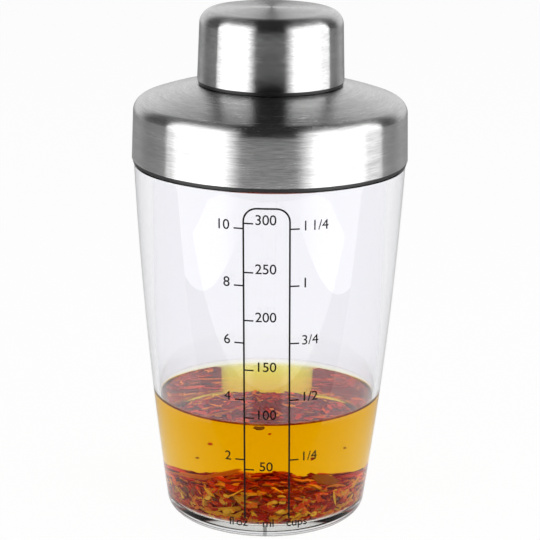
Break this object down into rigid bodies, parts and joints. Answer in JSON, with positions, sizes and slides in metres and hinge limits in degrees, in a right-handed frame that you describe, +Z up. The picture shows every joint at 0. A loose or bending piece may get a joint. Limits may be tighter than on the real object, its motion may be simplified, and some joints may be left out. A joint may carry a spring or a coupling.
{
  "type": "salad dressing shaker",
  "caption": "Clear tapered shaker beaker part-filled with dressing, with a brushed steel screw lid, a strainer in the pouring neck and a small steel screw cap.",
  "frame": {"origin": "centre of the foot, on the plane that the shaker stands on", "axes": "+Z up the axis of the shaker, towards the cap; -Y faces the printed measuring scale"},
  "size_m": [0.0797, 0.0796, 0.151],
  "materials": {
    "beaker_plastic": "clear moulded plastic, polished, with black printed measuring marks",
    "dressing_oil": "clear amber oil and vinegar",
    "herbs": "wet dried herbs, seeds and chilli flakes",
    "seal_silicone": "translucent silicone, matt",
    "liner_plastic": "black moulded polypropylene, fine satin",
    "lid_steel": "stainless steel brushed round the axis",
    "cap_steel": "stainless steel brushed round the axis, with a fine radial sheen on top",
    "strainer_steel": "pressed stainless steel, satin"
  },
  "bodies": {
    "bottle": {"beaker": "beaker_plastic", "dressing": "dressing_oil", "herb_bed": "herbs"},
    "lid_seal": {"lid_seal": "seal_silicone"},
    "lid": {"lid_liner": "liner_plastic", "lid_shell": "lid_steel", "strainer": "strainer_steel"},
    "cap_seal": {"cap_seal": "seal_silicone"},
    "cap": {"cap_liner": "liner_plastic", "cap_shell": "cap_steel"}
  },
  "joints": [
    {"name": "lid_lift", "type": "slide", "parent": "bottle", "child": "lid_seal", "axis": [0, 0, 1], "range_m": [0, 0.048]},
    {"name": "lid_turn", "type": "hinge", "parent": "lid_seal", "child": "lid", "pos_m": [0, 0, 0.118], "axis": [0, 0, 1], "range_deg": [0, 1080]},
    {"name": "cap_lift", "type": "slide", "parent": "lid", "child": "cap_seal", "axis": [0, 0, 1], "range_m": [0, 0.027]},
    {"name": "cap_turn", "type": "hinge", "parent": "cap_seal", "child": "cap", "pos_m": [0, 0, 0.143], "axis": [0, 0, 1], "range_deg": [0, 1080]}
  ],
  "couplings": [
    {"joint": "lid_lift", "follows": "lid_turn", "m_per_rad": 0.002546},
    {"joint": "cap_lift", "follows": "cap_turn", "m_per_rad": 0.001432}
  ]
}
